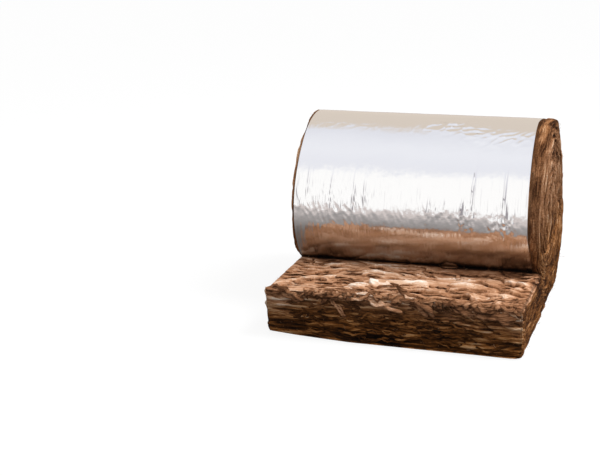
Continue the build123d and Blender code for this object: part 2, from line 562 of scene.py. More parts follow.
def relief_at(point, side):
    """Height of the torn face in metres, and its lightness from 0 to 1, in the flat mat."""
    bend = noise.noise_vector(Vector(point) / WARP_SIZE) * WARP_REACH
    wavy = (point[0] + bend.x, point[1] + bend.y, point[2] + bend.z * 0.45)
    swell = noise.noise(Vector(point) / SWELL_SIZE)
    height, light = SWELL_REACH * swell, BASE_TONE[side] + SWELL_TONE * swell
    if side == "top":
        for spacing, slant, reach, lighter, darker in SHEETS:
            lip, crease = torn_sheet(wavy[0], wavy[1], spacing, slant)
            height += (lip - SHEET_MEAN) * reach
            # A lip gets a painted highlight, and the crease in front of it painted shade
            light += (lip - SHEET_MEAN) * lighter - crease * darker
        return height, light
    # Raised cells are lighter, and the gaps between them get painted shade
    for sizes, reach, contrast in FLAKES[side]:
        proud = flakes(wavy, sizes)
        height += (proud - FLAKE_MEAN_HEIGHT) * reach
        light += (proud - FLAKE_MEAN_LIGHT) * contrast
    return height, light


STRAND_SAMPLES = 120
# Thick soft strands seen on the top: the x and length of a curve's three points, half width,
# height, and how much lighter they are. Hollows between them have negative numbers: they are
# lower, and darker with painted shade.
STRANDS = table([
    (-112, 40, -85, 155, 50, 125, 30, 6, 330), (-20, 150, 20, 140, 60, 110, 20, 2.5, 160),
    (140, 91, 187, 86, 236, 52, 14, 4.5, 240), (108, 148, 168, 150, 239, 123, 12, 4, 180),
    (234, 30, 252, 124, 283, 210, 17, 4, 220), (-287, 48, -250, 105, -160, 136, 12, 3.5, 200),
    (-60, 75, -10, 85, 30, 60, 20, -3.5, -160), (40, 30, 80, 50, 110, 20, 18, -3, -160),
    (-275, 150, -245, 160, -215, 150, 14, -2, -160),
    (-205, 165, -170, 180, -130, 165, 14, -2, -140),
    (250, 60, 272, 70, 290, 110, 20, -1.5, -120), (-232, 77, -186, 75, -148, 119, 9, 4, 150),
    (-219, 225, -149, 235, -79, 205, 12, 4, 180), (-115, 195, -44, 205, 23, 182, 11, 4, 220),
    (71, 176, 118, 168, 177, 178, 9, 4, 200), (0, 70, 60, 95, 120, 60, 10, 4, 120),
])


def curve_points(path, shares):
    """Points and directions on the smooth curve that starts and ends at path's ends."""
    first, middle, last = (np.array(point, dtype=float) for point in path)
    t = shares[:, None]
    points = (1 - t) ** 2 * first + 2 * t * (1 - t) * middle + t * t * last
    ways = 2 * (1 - t) * (middle - first) + 2 * t * (last - middle)
    return points, unit(ways)


def strands(x, lengths):
    """Height and added lightness of the thick strands at these places of the top."""
    height, light = np.zeros(len(x)), np.zeros(len(x))
    wander = np.array([noise.noise_vector(Vector((a / 0.03, b / 0.03, 0.0))) * 0.006
                       for a, b in zip(x, lengths)])
    shares = np.linspace(0, 1, STRAND_SAMPLES)
    for *path, half_width, reach, lighter in STRANDS:
        points, ways = curve_points(np.reshape(path, (3, 2)), shares)
        offset = np.c_[x + wander[:, 0], lengths + wander[:, 1]][:, None] - points[None]
        distance = np.linalg.norm(offset, axis=2)
        nearest = np.argmin(distance, axis=1)
        taper = 0.35 + 0.65 * np.sin(np.pi * np.clip(shares[nearest] * 0.9 + 0.05, 0, 1))
        share = np.clip(1 - (distance.min(axis=1) / (half_width * taper)) ** 2, 0, 1)
        height = np.where(np.abs(reach) * share > np.abs(height), reach * share, height)
        light = np.where(abs(lighter) * share > np.abs(light), lighter * share, light)
    return height, light


normals = places(wool, "normal")


def torn_side(square, normal):
    """Which relief this point of the block gets: cut, top or end, and none inside the roll."""
    on_top = square[2] > LOOSE_THICKNESS - TINY and square[1] < LOOSE_LENGTH + TINY
    if not (abs(square[0]) > HALF - RELIEF_BORDER or square[1] < TINY or on_top):
        return None
    if abs(normal[1]) > 0.7:
        return "cut"
    return "top" if normal[2] > 0.6 and square[1] < LOOSE_LENGTH else "end"


x, length, z = flat.T
heights = np.zeros(len(flat))
lightness = np.full(len(flat), MID_TONE)
for i, (point, square, normal) in enumerate(zip(flat, start, normals)):
    side = torn_side(square, normal)
    if side:
        heights[i], lightness[i] = relief_at(point, side)
shown = lightness != MID_TONE
lightness[shown] += MID_TONE - lightness[shown].mean()
on_top = (start[:, 2] > LOOSE_THICKNESS - TINY) & (start[:, 1] < LOOSE_LENGTH)
strand_height, strand_light = strands(x[on_top], length[on_top])
heights[on_top] += strand_height
heights[on_top] *= smoothstep(HALF + 0.004, HALF - 0.030, np.abs(x[on_top]))
lightness[on_top] += strand_light + np.interp(x[on_top], TOP_LIGHT_AT, TOP_LIGHT)

# Faces that were cut or torn across the fibres are darker than the peeled top: partly their
# own colour, and partly painted shade, as they face away from the light above. The crease
# where the roll lies on the loose end gets painted shade as well
facing_front = smoothstep(0.4, 0.8, -normals[:, 1])
facing_top = smoothstep(0.3, 0.7, normals[:, 2]) * (length < LOOSE_LENGTH)
crease_painted_shade = smoothstep(LOOSE_LENGTH - CREASE_SHADE_WIDTH, LOOSE_LENGTH, length) * facing_top
ragged = np.array([soft_noise(a / 0.030, b / 0.02, 2.0) for a, b in zip(x, z)])
light_reach = np.interp(x, LIGHT_REACH_AT, LIGHT_REACH) + 0.014 * ragged
cut_shade = np.interp(z + light_reach, CUT_SHADE_AT, CUT_SHADE)
lightness += facing_front * np.interp(z + light_reach, CUT_SHADE_AT, CUT_LIGHT)
rolled_height = roll_up(flat)[:, 2]
end_shade = np.interp(rolled_height, END_SHADE_AT, END_SHADE)
shades = end_shade * (1 - facing_top) + 0.8 * crease_painted_shade
shades = shades + facing_front * (cut_shade - shades)
# The painted shade in the crease also takes lightness away there
lightness -= 0.35 * crease_painted_shade

# The relief fades at the cut's left and right edge, so that they stay whole
heights *= 1 - facing_front * smoothstep(HALF - 0.016, HALF, np.abs(x))

# It also fades under the foil, near the crease, and on the faces that lie in the roll
bare_left = smoothstep(FOIL_LEFT + 0.001, FOIL_LEFT - 0.002, x)
foil_right = foil_right_at(length)
bare_right = smoothstep(foil_right, foil_right + 0.006, x)
bare = np.maximum(bare_left, bare_right)
facing = smoothstep(0.3, 0.8, -normals[:, 2])
heights *= 1 - facing * (1 - bare)
off_floor = length > lift_off
margins = bare_right * MARGIN_BULGE["right"] + bare_left * MARGIN_BULGE["left"]
heights += facing * margins * off_floor
in_roll = smoothstep(LOOSE_LENGTH - 0.050, LOOSE_LENGTH - 0.006, length)
heights *= 1 - in_roll * smoothstep(0.3, 0.8, normals[:, 2])
shaped = flat + normals * heights[:, None]
lowest = np.where((bare > 0.5) & off_floor, -0.004, UNDER_FOIL)
shaped[:, 2] = np.maximum(shaped[:, 2], lowest)
inside_roll = shaped[:, 1] > LOOSE_LENGTH
shaped[inside_roll, 2] = np.minimum(shaped[inside_roll, 2], LOOSE_THICKNESS - BETWEEN_TURNS)


def turned_streaks(rows):
    """Texture coordinates for the ends, where the streaks run along the mat."""
    return np.c_[rows[:, 1] + 5.0, rows[:, 0], rows[:, 2] + rows[:, 0]]


# Elsewhere, on the top and on the cut, they run across it
at_sides = np.maximum(smoothstep(0.5, 0.7, np.abs(normals[:, 0])), facing * bare) > 0.5
store(wool, flat=np.where(at_sides[:, None], turned_streaks(flat), flat), relief=lightness,
      ends=at_sides.astype(float), shade=shades)
move_to(wool, roll_up(shaped))
print("relief, mm:", round(heights.min() * 1000, 1), "to", round(heights.max() * 1000, 1))

# %% [markdown]
# ## Finish of the wool
#
# Rock or glass melt is spun to fibres and bound with a brown resin. It is dull
# and rough, has no shine, and varies from cream where fibres lie loose to dark
# brown; the gaps are nearly black with painted shade. Streaks run along the
# layers, so the noise is stretched: long across the mat, shorter along it and
# thin through it.

# %% Mineral wool material
STREAK_SIZE = (0.085, 0.034, 0.0038)
FIBRE_SIZE = (0.030, 0.0090, 0.0016)
CLOUD_SIZE = (0.110, 0.080, 0.050)
SPECK_SIZE = 0.0036
PEELED = [(0.00, "#2a160b"), (0.24, "#603c25"), (0.46, "#a37352"),
          (0.64, "#c39473"), (0.82, "#dcba9f"), (1.00, "#f1e3d6")]
# Cut wool is darker than peeled wool. The shade attribute mixes towards this ramp, so it also
# carries painted shade: on the cut, in the crease and at the top of the ends
CUT_AND_SHADED = [(0.00, "#0c0501"), (0.26, "#2a1404"), (0.47, "#59320f"),
       (0.64, "#885528"), (0.82, "#b07c4a"), (1.00, "#cba37a")]
# How strongly each pattern shows: specks on the faces and at the ends, streaks and fibres
# where the wool is light and where it is dark
SPECKS_SHOW, STREAKS_SHOW, FIBRES_SHOW = (0.15, 0.65), (0.75, 1.15), (0.42, 0.85)
CLOUDS_SHOW = 0.75


def mineral_wool():
    """Dull brown fibres with streaks along the layers, and painted shade in the gaps."""
    material = bpy.data.materials.new("mineral_wool_brown_binder")
    add = node_adder(material)
    where = add("Attribute", attribute_name="flat").outputs["Vector"]
    relief, darker, ends = attributes(add, "relief", "shade", "ends")
    bend = add("TexNoise", {"Vector": where, "Scale": 1 / WARP_SIZE, "Detail": 2.0})
    centred = add("VectorMath", {0: bend.outputs["Color"], 1: (0.5, 0.5, 0.5)},
                  operation="SUBTRACT")
    shift = add("VectorMath", {0: centred, "Scale": 2 * WARP_REACH}, operation="SCALE")
    wavy = add("VectorMath", {0: where, 1: shift})
    bands = []
    for size, detail in ((STREAK_SIZE, 4.0), (FIBRE_SIZE, 3.0), (CLOUD_SIZE, 2.0)):
        stretch = add("Mapping", {"Vector": wavy, "Scale": [1 / s for s in size]})
        bands.append(add("TexNoise", {"Vector": stretch, "Scale": 1.0, "Detail": detail,
                                      "Roughness": 0.6}))
    specks = add("TexNoise", {"Vector": where, "Scale": 1 / SPECK_SIZE, "Detail": 2.0})
    weights = [add("MapRange", {"Value": value, "To Min": low, "To Max": high})
               for value, (low, high) in ((ends, SPECKS_SHOW), (darker, STREAKS_SHOW),
                                          (darker, FIBRES_SHOW))]
    total = relief
    for band, weight in zip([specks, *bands], [*weights, CLOUDS_SHOW]):
        part = add("Math", {0: band, 1: 0.5}, operation="SUBTRACT")
        total = add("Math", {0: part, 1: weight, 2: total}, operation="MULTIPLY_ADD")
    peeled, cut = (add("ValToRGB", {"Fac": total}, stops=stops) for stops in (PEELED, CUT_AND_SHADED))
    colour = add("Mix", {"Factor": darker, 6: peeled, 7: cut}, data_type="RGBA")
    height = add("Math", {0: bands[0], 1: bands[1]}, operation="ADD")
    bump = add("Bump", {"Height": height, "Strength": 0.9, "Distance": 0.004})
    surface = add("BsdfPrincipled", {"Base Color": colour.outputs[2], "Roughness": 0.95,
                                     "Specular IOR Level": 0.15, "Normal": bump})
    add("OutputMaterial", {"Surface": surface})
    return material


wool_material = mineral_wool()
wool.data.materials.append(wool_material)
select_only(wool)
bpy.ops.object.shade_smooth_by_angle(angle=math.radians(50))
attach(wool, "root")
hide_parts("wool_blanket")

# %% [markdown]
# ## Wisps
#
# Where the wool was torn, bundles of fibres come loose: long curved wisps on
# the top, some of them hanging over the front edge. One wisp is modelled, a
# closed form that is thick in the middle and pointed at its ends, and copied
# along many short curves. The biggest ones lie where the photograph shows
# them, and the rest are scattered.

# %% One wisp
WISP_SIDES, WISP_RINGS = 8, 14
FINER_STREAKS = 1.6  # than the mat's

bpy.ops.object.select_all(action="DESELECT")
bpy.ops.mesh.primitive_uv_sphere_add(segments=WISP_SIDES, ring_count=WISP_RINGS, radius=1,
                                     rotation=(0, math.radians(90), 0))
pattern = bpy.context.object
bpy.ops.object.transform_apply(location=True, rotation=True, scale=True)
wisp_form = places(pattern)
blunt = (1.03 - wisp_form[:, 0] ** 2) ** -0.22
wisp_form[:, 1:] *= blunt[:, None]
wisp_faces = sorted(tuple(face.vertices) for face in pattern.data.polygons)
bpy.data.objects.remove(pattern)

chance = np.random.default_rng(SEED)
between, about = chance.uniform, chance.normal
wisps = []


def wisp(path, up, width, height, light, shade, at_end=False):
    """The form laid along a path in the flat mat, and its attributes for each vertex."""
    seed = len(wisps) * 1.7
    share = (wisp_form[:, 0] + 1) / 2
    points, ways = curve_points(path, share)
    aside = unit(np.cross(np.broadcast_to(up, ways.shape), ways))
    lift = np.cross(ways, aside)
    reach = np.linalg.norm(np.array(path[2]) - np.array(path[0]))
    wander = np.array([soft_noise(s * 2.6, seed, 0.0) for s in share]) * reach * 0.20
    ragged = np.array([soft_noise(s * 7, a * 1.6, seed) for s, a in
                       zip(share, wisp_form[:, 1])])
    spread = wisp_form[:, 1] * (1 + 0.9 * ragged)
    rows = points + aside * (spread * width / 2 + wander)[:, None]
    rows += lift * ((wisp_form[:, 2] + 0.5 * ragged) * height / 2)[:, None]
    edge = np.maximum(np.abs(wisp_form[:, 0]), np.clip(np.abs(wisp_form[:, 1]), 0, 1) * 0.9)
    relief = 0.45 + light * (1 - edge ** 2) - 0.16 * edge ** 4
    streaks = turned_streaks(rows) if at_end else FINER_STREAKS * rows
    return rows, streaks, relief, shade, float(at_end)


# %% [markdown]
# Five groups of wisps follow: bundles where the photograph shows a tuft, wisps
# along the torn layers of the top, flat ones on the cut, others that bend over
# its upper edge, and a few on the ends. Their tips are tucked into the mat.

# %% Scatter the wisps
TOP = LOOSE_THICKNESS


def flow(x, length):
    """The direction that the torn layers take on the top, as an angle from X."""
    turn = soft_noise(x / 0.16, length / 0.12, 11.0)
    return math.radians(8) + turn * math.radians(55)


# Torn tufts that hang over the front edge: the x, length and height above the top of a
# curve's three points, then width, lightness and shade. Each is a bundle of wisps.
SEEN_TUFTS = table([
    (-62, 26, 3, -56, -10, -14, 22, -6, -22, 13, 200, 50),
    (10, 40, 3, 50, -8, 2, 100, -6, -36, 24, 20, 250),
    (-142, -4, -16, -130, -7, -28, -108, -5, -52, 5, 100, 250),
    (170, 12, -4, 226, -8, -20, 280, -4, -24, 20, 20, 400),
    (120, 20, 0, 150, -8, -6, 190, -4, -30, 20, -60, 350),
    (-276, 20, 0, -252, -5, -4, -215, -2, -18, 16, 0, 350),
])
STRANDS_IN_TUFT = 5
TOP_WISPS, CUT_WISPS, HANGING_WISPS, END_WISPS = 120, 110, 70, 60
CLEAR_OF_CREASE = 0.012
OVER_EDGE = (0, -0.6, 0.8)  # the way up for wisps that bend over the edge

for *path, width, light, shade in SEEN_TUFTS:
    path = np.reshape(path, (3, 3)) + (0, 0, TOP)
    for count in range(STRANDS_IN_TUFT):
        astray = about(0, 1, (3, 3)) * (width * 0.40, width * 0.15, width * 0.30)
        size = width * between(0.45, 1.0)
        wisps.append(wisp(path + astray, OVER_EDGE, size, size * 0.35,
                          light + about(0, 0.06), shade))

for count in range(TOP_WISPS):
    middle = np.array([between(-0.285, 0.285), between(0.010, LOOSE_LENGTH - 0.035)])
    heading = flow(*middle) + about(0, 0.25)
    reach = between(0.012, 0.042)
    step = np.array([math.cos(heading), math.sin(heading)]) * reach
    bow = np.array([-step[1], step[0]]) * about(0, 0.55)
    points = np.clip([middle - step, middle + bow, middle + step], (-0.292, 0.004),
                     (0.292, LOOSE_LENGTH - 0.026))
    lift = between(0.0005, 0.0040)
    size = between(0.004, 0.015)
    form = wisp(np.c_[points, TOP + lift - np.array([0.003, 0, 0.003])], (0, 0, 1), size,
                size * between(0.20, 0.32), about(0.0, 0.08), 0.0)
    if form[0][:, 1].max() < LOOSE_LENGTH - CLEAR_OF_CREASE:
        wisps.append(form)

for count in range(CUT_WISPS):
    x, z = between(-0.24, 0.24), between(0.010, TOP - 0.010)
    reach, slope = between(0.010, 0.038), about(0.0, 0.08)
    out = -between(-0.0005, 0.0024)
    path = [(x - reach, out + 0.002, z - slope * reach), (x, out, z + about(0, 0.004)),
            (x + reach, out + 0.002, z + slope * reach)]
    size = between(0.0030, 0.0075)
    wisps.append(wisp(path, (0, -1, 0), size, size * 0.45, about(0.06, 0.12),
                      np.interp(z, CUT_SHADE_AT, CUT_SHADE)))

for count in range(HANGING_WISPS):
    x = between(-0.26, 0.28)
    if count % 2:
        x = about(0.04, 0.10)
    lean, hang = about(0.003, 0.017), between(0.002, 0.024)
    path = [(x - lean, between(0.008, 0.028), TOP + 0.001), (x, -0.007, TOP + 0.001),
            (x + lean, -between(0.001, 0.004), TOP - hang)]
    wisps.append(wisp(path, OVER_EDGE, between(0.005, 0.014),
                      between(0.0018, 0.0036), about(-0.04, 0.08), 0.1 + 14 * hang))

for count in range(END_WISPS):
    end_side = 1 if count % 3 else -1
    length, z = between(0.01, MAT_LENGTH * 0.80), between(0.012, TOP - 0.014)
    reach = between(0.008, 0.026)
    out = end_side * (HALF + between(-0.0010, 0.0015))
    path = [(out - end_side * 0.002, length - reach, z + about(0, 0.003)), (out, length, z),
            (out - end_side * 0.002, length + reach, z + about(0, 0.003))]
    size = between(0.0030, 0.0060)
    wisps.append(wisp(path, (end_side, 0, 0), size, size * 0.30, about(-0.05, 0.08),
                      0.75, at_end=True))

# %% [markdown]
# All the wisps become one object, rolled up like the mat. The few that would
# reach the floor or stand too far out are left out.

# %% Join the wisps
WIDEST, LOWEST = HALF + 0.018, 0.0005


def joined(name, forms, faces):
    """One object of all the forms that stay above the floor, laid in the rolled mat."""
    rolled = [roll_up(form[0]) for form in forms]
    kept = [k for k, laid in enumerate(rolled)
            if laid[:, 2].min() > LOWEST and np.abs(laid[:, 0]).max() < WIDEST]
    count = len(rolled[0])
    all_faces = [tuple(v + count * k for v in face) for k in range(len(kept)) for face in faces]
    mesh = bpy.data.meshes.new(name)
    mesh.from_pydata(np.vstack([rolled[k] for k in kept]).tolist(), [], all_faces)
    obj = bpy.data.objects.new(name, mesh)
    bpy.context.scene.collection.objects.link(obj)
    edit_whole(obj, bpy.ops.mesh.normals_make_consistent, inside=False)
    bpy.ops.object.shade_smooth()
    store(obj, flat=np.concatenate([forms[k][1] for k in kept]))
    for place, attribute in enumerate(("relief", "shade", "ends"), start=2):
        values = np.concatenate([np.full(count, forms[k][place]) for k in kept])
        store(obj, **{attribute: values})
    mesh.materials.append(wool_material)
    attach(obj, "root")
    print(name + ":", len(kept), "forms,", triangles(obj), "triangles")


joined("wool_wisps", wisps, wisp_faces)

# %% [markdown]
# Single fibres stand off wherever the wool is bare, and soften its outline.
# Real ones are far thinner than a hair. They are drawn half a millimetre thick
# here, because a thinner one doesn't show. Each is a three-sided tube with
# closed ends.

# %% Loose fibres
FIBRES = 900
FIBRE_RADIUS = 0.00026
FIBRE_RINGS = 5
fibre_faces = [(0, 2, 1)]
for ring in range(FIBRE_RINGS - 1):
    for corner in range(3):
        a, b = ring * 3 + corner, ring * 3 + (corner + 1) % 3
        fibre_faces.append((a, b, b + 3, a + 3))
fibre_faces.append(tuple((FIBRE_RINGS - 1) * 3 + corner for corner in range(3)))


def fibre(start, way, reach):
    """A thin bent tube from start."""
    middle = start + way * reach * 0.55 + about(0, 0.22, 3) * reach
    last = middle + way * reach * 0.2 + about(0, 0.40, 3) * reach
    shares = np.linspace(0, 1, FIBRE_RINGS)
    points, ways = curve_points((start, middle, last), shares)
    aside = unit(np.cross(ways, (0.3, 0.5, 0.81)))
    other = np.cross(ways, aside)
    rows = []
    for point, a, b in zip(points, aside, other):
        for corner in range(3):
            turn = math.radians(120 * corner)
            rows.append(point + (a * math.cos(turn) + b * math.sin(turn)) * FIBRE_RADIUS)
    return np.array(rows)


fibres = []
for count in range(FIBRES):
    kind = chance.random()
    x, length = between(-0.295, 0.295), between(0.004, LOOSE_LENGTH - 0.01)
    if kind < 0.30:  # on the top
        spot, way = (x, length, TOP), (0, 0, 0.6)
    elif kind < 0.50:  # on the cut
        spot, way = (x, 0.0, between(0.01, TOP)), (0, -0.7, 0)
    elif kind < 0.66:  # on the edge between them
        spot, way = (x, 0.003, TOP - 0.004), (0, -0.6, 0.5)
    else:  # on the ends, and most of them on the right one
        end_side = 1 if kind < 0.88 else -1
        length = between(0.004, MAT_LENGTH * 0.82)
        z = between(0.006, TOP - 0.006)
        if chance.random() < 0.4:
            z = 0.004
        spot, way = (end_side * (HALF - 0.002), length, z), (end_side * 0.6, 0, -0.1)
    bent = np.array(way, dtype=float) + about(0, 0.55, 3)
    bent /= np.linalg.norm(bent)
    rows = fibre(np.array(spot, dtype=float), bent, between(0.003, 0.009))
    fibres.append((rows, rows, 0.55 + about(0, 0.10), 0.4, 0.0))
joined("wool_loose_fibres", fibres, fibre_faces)

# %% [markdown]
# ## The foil
#
# The facing is thin aluminium foil glued to the wool. It can't stretch, so it
# crumples wherever the roll sags: short folds, long creases and flat facets
# between them. The sheet is a grid laid along the same winding, and all its
# wrinkles stand outwards, so the wool never comes through.

# %% Foil sheet
FOIL_THICKNESS = 0.0004
FOIL_COLUMNS = 240
FOIL_CUT = 0.009  # it is cut a little shorter than the wool
# Its rows lie on the floor, up the back, over the top, where it is crumpled, and below
ROWS = (10, 26, 20, 96, 20)
UP_THE_BACK = 1.6  # in quarter turns
CRUMPLED_FROM, CRUMPLED_TO = -0.315, 0.035
TUCKED_IN = 0.03

tucked = length_at(CREASE) + TUCKED_IN
marks = (FOIL_CUT, lift_off, length_at(UP_THE_BACK), FOREMOST + CRUMPLED_FROM,
         FOREMOST + CRUMPLED_TO, tucked)
stations = np.concatenate([np.linspace(begin, end, rows, endpoint=end == tucked)
                           for begin, end, rows in zip(marks, marks[1:], ROWS)])
bpy.ops.object.select_all(action="DESELECT")
bpy.ops.mesh.primitive_grid_add(x_subdivisions=FOIL_COLUMNS, y_subdivisions=len(stations) - 1,
                                size=1)
foil = bpy.context.object
foil.name = "foil_facing_sheet"
grid = places(foil)
along = np.interp(grid[:, 1] + 0.5, np.linspace(0, 1, len(stations)), stations)
foil_width = foil_right_at(along) - FOIL_LEFT
across = FOIL_LEFT + (grid[:, 0] + 0.5) * foil_width


def outward(lengths):
    """The direction (y, z) away from the wool, square to the foil."""
    step = unit(look_up(lengths + 0.002, FOIL_SIDE) - look_up(lengths - 0.002, FOIL_SIDE))
    return np.c_[step[:, 1], -step[:, 0]]


# Where folds are seen: x, the lengths where they begin and end, half width and height, and
# lengths are counted from the roll's foremost line, less than 0 on the way up to the top
CREASES = table([
    (138, -205, -15, 4, 2), (214, -190, -20, 4, 2.2), (220, -80, 30, 6, 2.2),
    (120, -85, 20, 5, 2), (-262, -150, -40, 4, 1.6), (-205, -120, 10, 5, 2),
    (-180, -100, 30, 4, 1.4), (-148, -150, -20, 4, 1.8), (-120, -120, 0, 4, 1.4),
    (40, -90, 10, 5, 1.6), (-20, -80, 20, 4, 1.2), (150, -60, 30, 6, 1.8),
])
# Crumpled places: x, length, how far they reach each way, and height
CRUMPLES = table([
    (125, -35, 22, 30, 1100), (212, -18, 30, 34, 1300), (-190, -30, 70, 22, 350),
    (55, -45, 45, 22, 700), (140, -26, 150, 18, 300), (-60, -12, 180, 14, 150),
    (-210, 6, 35, 14, 500),
])
# Slanting crumples over the top
SLANTS = table([
    (70, -285, 70, 26, 1000), (140, -262, 40, 34, 1000), (200, -245, 60, 28, 900),
    (-200, -300, 90, 30, 350),
])

# Heights in metres, and how much of the crumples there is everywhere
WAVE, RIPPLE, FACET, CRINKLE, DIMPLE = 0.0009, 0.0004, 0.0034, 0.0016, 0.0020
FOLD, FINE, SLANT = 0.0013, 0.00030, 0.0036
EVERYWHERE = 0.03


def patch(x, length, places):
    """How strongly the nearest of these places is felt, from 0 to about 1."""
    return max(height * math.exp(-((x - px) / rx) ** 2 - ((length - pl) / rl) ** 2)
               for px, pl, rx, rl, height in places)


def ridged(x, y, seed):
    """Noise with sharp crests, from 0 to 1."""
    crest = 1 - abs(soft_noise(x, y, seed)) * 2.4
    return max(crest, 0.0) ** 2


def around(value, centre, span):
    """1 at the centre, fading to 0 on both sides."""
    return math.exp(-((value - centre) / span) ** 2)


def to_the_left(x, begin, span):
    """0 where it begins, and 1 from one span further left."""
    return max(0.0, min(1.0, (begin - x) / span))


def foil_relief(x, length):
    """How far the foil stands off the wool here, in metres."""
    from_front = length - FOREMOST
    wave = WAVE * (0.7 + soft_noise(x / 0.13, length / 0.06, 0.0))
    ripple = RIPPLE * (1 + soft_noise(x / 0.035, length / 0.045, 4.0))
    crumpled = patch(x, from_front, CRUMPLES) + EVERYWHERE
    bent = 0.006 * soft_noise(x / 0.020, length / 0.030, 8.0)
    facet = noise.voronoi(Vector(((x + bent) / 0.015, (length + 2 * bent) / 0.024, 0.0)))[0]
    crinkle = ridged((x + bent + 0.3 * length) / 0.012, (length + bent) / 0.020, 3.0)
    dimple = noise.voronoi(Vector(((x + bent) / 0.0085, (length + bent) / 0.012, 5.0)))[0]
    facets = FACET * min(facet[1] - facet[0], 0.8) + CRINKLE * crinkle
    facets += DIMPLE * min(dimple[1] - dimple[0], 0.7) * (crumpled > 0.5)
    left = to_the_left(x, 0.02, 0.14) * around(from_front, -0.045, 0.042)
    folds = FOLD * ridged((x - 0.38 * from_front + bent) / 0.014, length / 0.050, 7.0)
    brushed = to_the_left(x, 0.06, 0.16) * around(from_front, -0.085, 0.050)
    all_over = around(from_front, -0.09, 0.08)
    fine = FINE * (1 + 1.6 * soft_noise(x / 0.0070, length / 0.060, 9.0))
    slanting = patch(x, from_front, SLANTS) + EVERYWHERE
    slants = SLANT * ridged((x * 0.4 + length) / 0.016, (x - length * 0.4) / 0.040, 2.0)
    total = wave + ripple + facets * crumpled + folds * (0.9 * left + 0.10)
    total += fine * (0.25 + 0.75 * all_over + 1.1 * brushed) + slants * slanting
    for place, begin, end, width, reach in CREASES:
        if begin < from_front < end:
            share = (from_front - begin) / (end - begin)
            wander = 0.005 * soft_noise(place * 40, from_front / 0.06, 0)
            aside = (x - place + 0.05 * (from_front + 0.1) * (place > 0) - wander) / width
            profile = max(0.0, 1 - abs(aside)) if aside > 0 else max(0.0, 1 + aside * 2.2)
            total += reach * profile * math.sin(math.pi * share) ** 0.7
    return total


stand_off = np.array([foil_relief(x, s) for x, s in zip(across, along)])
edge = np.minimum(grid[:, 0] + 0.5, 0.5 - grid[:, 0]) * foil_width
stand_off *= smoothstep(0, 0.006, edge) * 0.3 + 0.7
stand_off = np.maximum(stand_off, 0)
on_floor = smoothstep(lift_off + 0.08, lift_off + 0.02, along)
stand_off *= 1 - on_floor
stand_off *= 1 - smoothstep(tucked - TUCKED_IN - 0.015, tucked - TUCKED_IN, along)
flat_foil = np.c_[across, along, 0 * along]
laid = roll_up(flat_foil)
laid[:, 1:] += outward(along) * stand_off[:, None]
laid[:, 2] = np.maximum(laid[:, 2], 0)
move_to(foil, laid)
edit_whole(foil, bpy.ops.mesh.flip_normals)
# Below the roll's foremost line the foil gets more blur and bumps, and painted shade in its colour
rubbed = smoothstep(FOREMOST - 0.035, FOREMOST + 0.060, along)
crumpled = [min(patch(x, s - FOREMOST, CRUMPLES), 1) for x, s in zip(across, along)]
store(foil, flat=flat_foil, crumpled=np.maximum(crumpled, 0.5 * rubbed), rubbed=rubbed)
wall = foil.modifiers.new("wall", "SOLIDIFY")
wall.thickness, wall.offset = FOIL_THICKNESS, -1
bpy.ops.object.modifier_apply(modifier="wall")
bpy.ops.object.shade_smooth_by_angle(angle=math.radians(60))
print("foil:", triangles(foil), "triangles; stands off up to, mm:",
      round(stand_off.max() * 1000, 1))

# %% [markdown]
# ## Finish of the foil
#
# Rolled aluminium foil is a clear mirror that its fine rolling lines and small
# crumples blur. The lines run along the mat, so on the roll they go round it.
# They are drawn much coarser than real ones, which wouldn't show. Below the
# roll's foremost line, down to the loose end, the foil is rougher and its colour
# is darker and warmer: painted shade over what it mirrors there.

# %% Aluminium foil material
LINE_SPACING, LINE_LENGTH = 0.0045, 0.25
DENT_SIZE = 0.012
# The second colour is painted shade, for the foil below the roll's foremost line
BRIGHT_FOIL, PAINTED_SHADE_FOIL = "#efeff0", "#c8bfb8"
DULL_ZONE_BLUR = 0.11


def aluminium_foil():
    """Bright rolled foil, blurred by lines that run along the sheet."""
    material = bpy.data.materials.new("aluminium_foil_rolled")
    add = node_adder(material)
    where = add("Attribute", attribute_name="flat").outputs["Vector"]
    crumpled, rubbed = attributes(add, "crumpled", "rubbed")
    stretch = add("Mapping", {"Vector": where, "Scale": (1 / LINE_SPACING, 1 / LINE_LENGTH, 1.0)})
    lines = add("TexNoise", {"Vector": stretch, "Scale": 1.0, "Detail": 2.0})
    dents = add("TexNoise", {"Vector": where, "Scale": 1 / DENT_SIZE, "Detail": 3.0,
                             "Roughness": 0.55})
    both = add("Math", {0: dents, 1: 0.55, 2: lines}, operation="MULTIPLY_ADD")
    strength = add("MapRange", {"Value": crumpled, "To Min": 0.35, "To Max": 1.0})
    bump = add("Bump", {"Height": both, "Strength": strength, "Distance": 0.0016})
    blur = add("MapRange", {"Value": dents, "To Min": 0.07, "To Max": 0.17})
    dull = add("Math", {0: rubbed, 1: DULL_ZONE_BLUR, 2: blur}, operation="MULTIPLY_ADD")
    tone = add("Mix", {"Factor": rubbed, 6: linear(BRIGHT_FOIL), 7: linear(PAINTED_SHADE_FOIL)},
               data_type="RGBA")
    surface = add("BsdfPrincipled", {"Base Color": tone.outputs[2], "Metallic": 1.0,
                                     "Roughness": dull, "Normal": bump})
    add("OutputMaterial", {"Surface": surface})
    return material


foil.data.materials.append(aluminium_foil())
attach(foil, "root")
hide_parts("foil_facing")

# %% [markdown]
# ## Floor, backdrop and light
#
# The photograph was taken in a white studio. The foil shows that studio: a
# white wall in front, a cool ceiling above and a warm wall behind. The world
# colour changes with the direction, from the floor in front over the ceiling
# to the back, but only for rays that mirror. The camera sees white, and the
# wool gets an even, plain light from all sides and one large lamp above.

